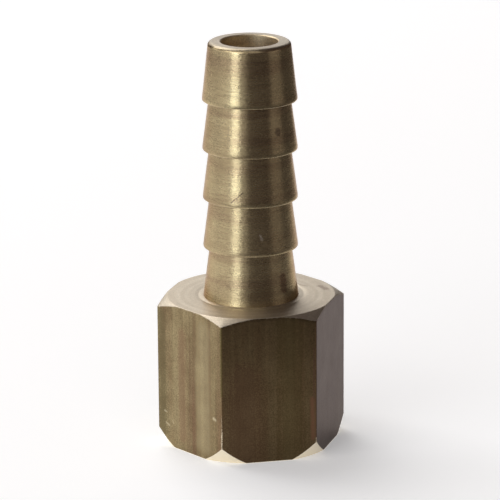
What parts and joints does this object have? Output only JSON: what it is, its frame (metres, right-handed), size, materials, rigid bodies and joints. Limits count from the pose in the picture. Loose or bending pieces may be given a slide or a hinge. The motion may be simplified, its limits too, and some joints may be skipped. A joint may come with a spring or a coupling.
{
  "type": "female threaded hose tail",
  "caption": "Straight brass hose tail: a hexagon body with a female pipe thread socket at one end and a barbed spigot for push-on hose at the other, with a through bore.",
  "frame": {"origin": "centre of the threaded end's face, on the turning axis; the part stands on this face", "axes": "+Z along the turning axis from the threaded end to the hose end; two of the six flats face -Y and +Y, and two corners point along -X and +X"},
  "size_m": [0.0196, 0.017, 0.0418],
  "materials": {
    "brass_body": "satin turned brass with drawn hexagon flats, lightly tarnished and handled"
  },
  "bodies": {
    "root": {"hose_tail": "brass_body"}
  },
  "joints": []
}
